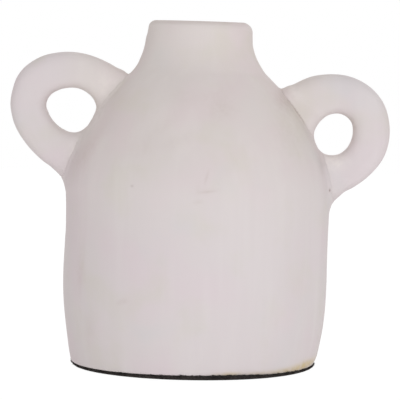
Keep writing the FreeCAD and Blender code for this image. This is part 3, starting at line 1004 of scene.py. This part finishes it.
# Short fibres in clumps, out of the upper part of the pad's edge and over the foot of the wall.
def addFibres(board, given, sheet):
    height = board.split(board.here(), "Z")
    facing = board.maths("ABSOLUTE", board.split(board.normal(), "Z"))
    upper = board.maths("GREATER_THAN", height, pad["thickness"] * pad["fibresAbove"])
    onEdge = upper * board.maths("LESS_THAN", facing, pad["fibresFacing"])
    clumps = lumps(board, pad["clumpScale"], given["Seed"] + pad["clumpSeed"], 2.0)
    clumps = board.ease(clumps, *pad["clumps"])
    spots = board.add("GeometryNodeDistributePointsOnFaces", None, {
        "Mesh": sheet, "Selection": onEdge, "Density": given["Fibres"] * clumps,
        "Seed": pad["fibreSeed"]})
    strand = board.add("GeometryNodeMeshCone", None, {
        "Vertices": 3, "Radius Top": given["Fibre Radius"] * pad["fibreTip"],
        "Radius Bottom": given["Fibre Radius"], "Depth": given["Fibre Length"]})
    least, most = pad["fibreStray"]
    astray = board.add("FunctionNodeRandomValue", vectorKind,
                       {0: least, 1: most, "Seed": pad["fibreSeed"]})
    way = board.vectorMaths("ADD", spots.at("Normal"), astray)
    turned = board.add("FunctionNodeAlignRotationToVector", {"axis": "Z"}, {"Vector": way})
    length = board.add("FunctionNodeRandomValue", {"data_type": "FLOAT"},
                       {2: pad["fibreShortest"], 3: 1.0, "Seed": pad["fibreSeed"] + 1}, 1)
    hairs = board.add("GeometryNodeInstanceOnPoints", None, {
        "Points": spots, "Instance": strand, "Rotation": turned,
        "Scale": board.point(1.0, 1.0, length)})
    joined = board.add("GeometryNodeJoinGeometry", None, {0: hairs})
    board.tree.links.new(sheet.socket, joined.socket.node.inputs[0])
    return joined


def makePad():
    sizes = {
        "Columns": float(pad["columns"]),
        "Edge Wobble": pad["edgeWobble"],
        "Wobble Scale": pad["wobbleScale"],
        "Seed": pad["seed"],
        "Fibres": pad["fibresPerArea"],
        "Fibre Length": pad["fibreLength"],
        "Fibre Radius": pad["fibreRadius"],
    }
    board, given, base = newShaper("feltPad", sizes)
    sheet, _, radius, height, angle = wind(board, given, base)
    across, along = board.maths("COSINE", angle), board.maths("SINE", angle)
    drawn = board.ease(across, pad["drawnFrom"], 1.0) * pad["drawnIn"] / pad["radius"]
    reach = radius * (1.0 - drawn)
    level = height * pressed(board, reach * across)
    sheet = moveTo(board, sheet, board.point(reach * across, reach * along, level))
    begins, full = (pad["radius"] - inward for inward in pad["brim"])
    brim = board.ease(radius, begins, full) * board.ease(
        height, pad["thickness"] * pad["brimFrom"], pad["thickness"] - pad["brimTop"])
    frayed = lumps(board, pad["frayScale"], given["Seed"] + pad["fraySeed"], 3.0)
    frayed = board.ease(frayed, *pad["frayed"]) * brim
    lift = board.vectorMaths("ADD", board.point(across, along, 0.0), (0.0, 0.0, 1.0))
    lift = board.vectorMaths("MULTIPLY", lift, pad["fray"])
    sheet = close(board, moveBy(board, sheet, board.scaled(lift, frayed)))
    begins, full = (pad["radius"] - inward for inward in pad["edgeZone"])
    edge = board.ease(board.vectorMaths("LENGTH", board.here(), out="Value"), begins, full)
    rough = lumps(board, given["Wobble Scale"], given["Seed"], 3.0) * given["Edge Wobble"] * edge
    outward = board.vectorMaths("MULTIPLY", board.here(), (1.0, 1.0, 0.0))
    sheet = moveBy(board, sheet, board.scaled(board.vectorMaths("NORMALIZE", outward), rough))
    mesh = pointMesh("padProfile", padProfile())
    return runShaper(board, addFibres(board, given, sheet), "feltPad", mesh, sizes, darkFelt)


feltPad = makePad()
print("pad made:", len(feltPad.data.vertices), "points")

for helper in (plainWall, plainCore, *plainRings.values()):
    bpy.data.objects.remove(helper)

for piece, node in ((vesselWall, "vessel_body"), (ringLeft, "handle_left"), (ringRight, "handle_right")):
    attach(piece, "root")
    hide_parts(node)
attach(feltPad, "root")
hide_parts("base_pad")
print("pieces ride on their body")


# Floor, light and camera.
studio = {
    "white": (1.0, 1.0, 1.0, 1.0),
    "floorSize": 4.0,
    "floorDrop": 0.0003,
    "floorColour": (0.90, 0.90, 0.89, 1.0),
    "floorWhiteShare": 0.86,
    "floorWhite": 1.07,
    "floorGlowShare": 0.27,
    "roomColour": (1.0, 1.0, 1.0, 1.0),
    "frontLight": 0.63,
    "backLight": 1.20,
    "leftShare": 0.88,
    "behind": (-0.2, 0.8),  # where the front's light passes into the back's
    "right": (-0.9, 0.3),  # and the left's into the right's
    "keyPlace": (0.42, -2.15, 0.12),
    "keyAim": (0.0, 0.0, 0.11),
    "keySize": 1.1,
    "keyPower": 21.4,
    "keyColour": (1.0, 1.02, 1.08),
    "eye": (0.0021, -1.490, 0.196),
    "aim": (0.0021, 0.0, 0.096),
    "roll": 0.77,
    "lens": 230.83,
    "sensor": 36.0,
    "clip": (0.05, 20.0),
}


def makeFloor():
    half, level = studio["floorSize"] / 2, -studio["floorDrop"]
    mesh = bpy.data.meshes.new("floor")
    corners = [(-half, -half, level), (half, -half, level), (half, half, level), (-half, half, level)]
    mesh.from_pydata(corners, [], [(0, 1, 2, 3)])
    floor = putOut("floor", mesh)
    material = bpy.data.materials.new("paleFloor")
    board = emptyBoard(material)
    matt = board.add("ShaderNodeBsdfDiffuse", None, {"Color": studio["floorColour"]})
    white = board.add("ShaderNodeEmission", None,
                      {"Color": studio["white"], "Strength": studio["floorWhite"]})
    lit = board.mixShaders(studio["floorGlowShare"], matt, white)
    mixed = board.mixShaders(looksAtBackdrop(board) * studio["floorWhiteShare"], lit, white)
    board.finish("ShaderNodeOutputMaterial", "Surface", mixed)
    mesh.materials.append(material)


def looksAtBackdrop(board):  # 1 for the camera, and for what it sees in or through a surface
    seen = board.add("ShaderNodeLightPath", None, None, "Is Camera Ray")
    return board.most(seen, board.most(seen.at("Is Glossy Ray"), seen.at("Is Transmission Ray")))


def makeRoom():
    world = bpy.data.worlds.new("softRoom")
    bpy.context.scene.world = world
    board = emptyBoard(world)
    direction = board.split(board.add("ShaderNodeTexCoord", None, None, "Generated"))
    behind = board.ease(direction.at("Y"), *studio["behind"])
    right = board.ease(direction, *studio["right"])

    def backdrop(colour, strength):
        return board.add("ShaderNodeBackground", None, {"Color": colour, "Strength": strength})

    def glow(strength):  # a little weaker from the left
        weaker = backdrop(studio["roomColour"], strength * studio["leftShare"])
        return board.mixShaders(right, weaker, backdrop(studio["roomColour"], strength))

    room = board.mixShaders(behind, glow(studio["frontLight"]), glow(studio["backLight"]))
    mixed = board.mixShaders(looksAtBackdrop(board), room, backdrop(studio["white"], 1.0))
    board.finish("ShaderNodeOutputWorld", "Surface", mixed)


def makeKey():
    light = bpy.data.lights.new("softKey", "AREA")
    light.shape = "DISK"
    light.size = studio["keySize"]
    light.energy = studio["keyPower"]
    light.color = studio["keyColour"]
    lamp = putOut("softKey", light)
    lamp.location = studio["keyPlace"]
    towards = Vector(studio["keyAim"]) - Vector(studio["keyPlace"])
    lamp.rotation_euler = towards.to_track_quat("-Z", "Y").to_euler()


def makeCamera():
    eye, aim = Vector(studio["eye"]), Vector(studio["aim"])
    ahead = (aim - eye).normalized()
    right = ahead.cross(Vector((0.0, 0.0, 1.0))).normalized()
    up = right.cross(ahead)
    roll = math.radians(studio["roll"])
    right, up = (math.cos(roll) * right + math.sin(roll) * up,
                 math.cos(roll) * up - math.sin(roll) * right)
    data = bpy.data.cameras.new("photoCamera")
    data.lens = studio["lens"]
    data.sensor_width = studio["sensor"]
    data.clip_start, data.clip_end = studio["clip"]
    camera = putOut("photoCamera", data)
    axes = Matrix((right, up, -ahead)).transposed().to_4x4()
    camera.matrix_world = Matrix.Translation(eye) @ axes
    bpy.context.scene.camera = camera


makeFloor()
makeRoom()
makeKey()
makeCamera()
bpy.context.scene.view_settings.view_transform = "Standard"
print("studio made")
